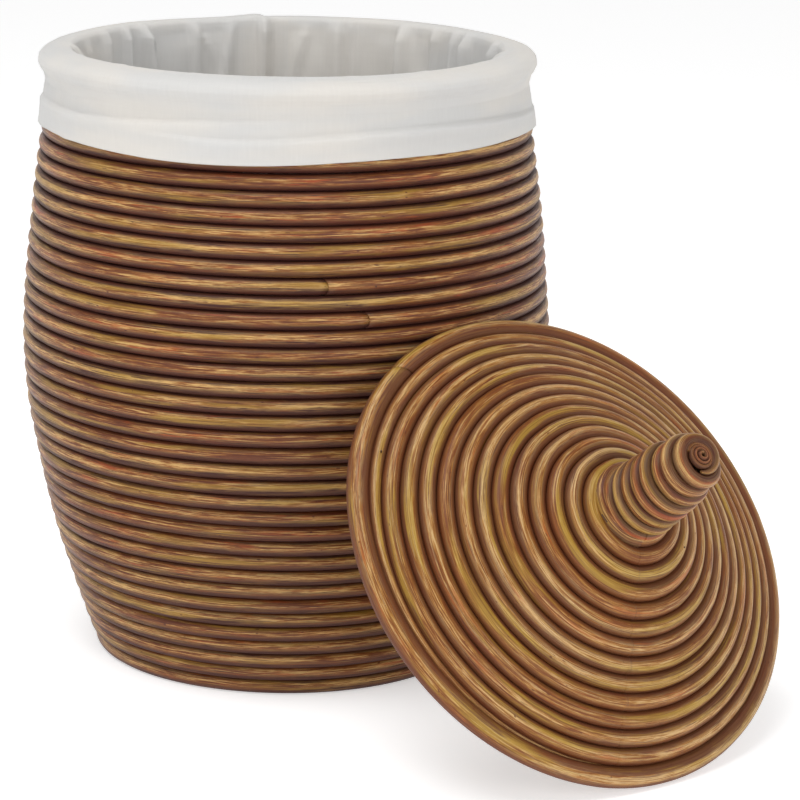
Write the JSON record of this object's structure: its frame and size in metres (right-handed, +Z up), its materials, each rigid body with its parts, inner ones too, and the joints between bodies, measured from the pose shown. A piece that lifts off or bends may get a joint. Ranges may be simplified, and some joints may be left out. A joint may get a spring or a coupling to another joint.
{
  "type": "laundry basket",
  "caption": "Barrel-shaped coiled rattan laundry basket with a lift-out cotton liner folded over its rim, and its conical lid with a coiled knob leaning against it.",
  "frame": {"origin": "on the floor, on the axis of the basket, which is the underside of the crossed base battens at their middle", "axes": "+Z up along the basket's axis; the lid leans on the wall towards +X and -Y, and -Y is the front"},
  "size_m": [0.6265, 0.6491, 0.5195],
  "materials": {
    "stained_rattan": "satin, dark stain wiped into the grooves",
    "rattan_splint": "matt stained splint",
    "dark_wood": "matt dark stain",
    "cotton": "plain-weave cotton, washed"
  },
  "bodies": {
    "basket": {"base_batten_lower": "dark_wood", "base_batten_upper": "dark_wood", "base_coil": "stained_rattan", "wall_coil_01": "stained_rattan", "wall_coil_02": "stained_rattan", "wall_coil_03": "stained_rattan", "wall_coil_04": "stained_rattan", "wall_coil_05": "stained_rattan", "wall_coil_06": "stained_rattan", "wall_coil_07": "stained_rattan", "wall_coil_08": "stained_rattan", "wall_coil_09": "stained_rattan", "wall_coil_10": "stained_rattan", "wall_coil_11": "stained_rattan", "wall_coil_12": "stained_rattan", "wall_coil_13": "stained_rattan", "wall_coil_14": "stained_rattan", "wall_coil_15": "stained_rattan", "wall_coil_16": "stained_rattan", "wall_coil_17": "stained_rattan", "wall_coil_18": "stained_rattan", "wall_coil_19": "stained_rattan", "wall_stays": "rattan_splint"},
    "liner": {"liner_base": "cotton", "liner_cuff": "cotton", "liner_fold": "cotton", "liner_side": "cotton"},
    "lid": {"finial_coil_1": "stained_rattan", "finial_coil_2": "stained_rattan", "finial_coil_3": "stained_rattan", "finial_coil_4": "stained_rattan", "finial_coil_5": "stained_rattan", "finial_coil_6": "stained_rattan", "finial_coil_7": "stained_rattan", "finial_coil_8": "stained_rattan", "finial_core": "dark_wood", "finial_curl": "stained_rattan", "lid_coil_01": "stained_rattan", "lid_coil_02": "stained_rattan", "lid_coil_03": "stained_rattan", "lid_coil_04": "stained_rattan", "lid_coil_05": "stained_rattan", "lid_coil_06": "stained_rattan", "lid_coil_07": "stained_rattan", "lid_coil_08": "stained_rattan", "lid_coil_09": "stained_rattan", "lid_coil_10": "stained_rattan", "lid_coil_11": "stained_rattan", "lid_coil_12": "stained_rattan", "lid_coil_13": "stained_rattan", "lid_locating_ring": "stained_rattan", "lid_ribs": "rattan_splint", "lid_rim_ring": "stained_rattan"}
  },
  "joints": [
    {"name": "liner_lift", "type": "slide", "parent": "basket", "child": "liner", "axis": [0, 0, 1], "range_m": [0, 0.56]},
    {"name": "lid_pull", "type": "slide", "parent": "basket", "child": "lid", "axis": [0.4683, -0.6351, 0.6143], "range_m": [0, 0.35]}
  ]
}
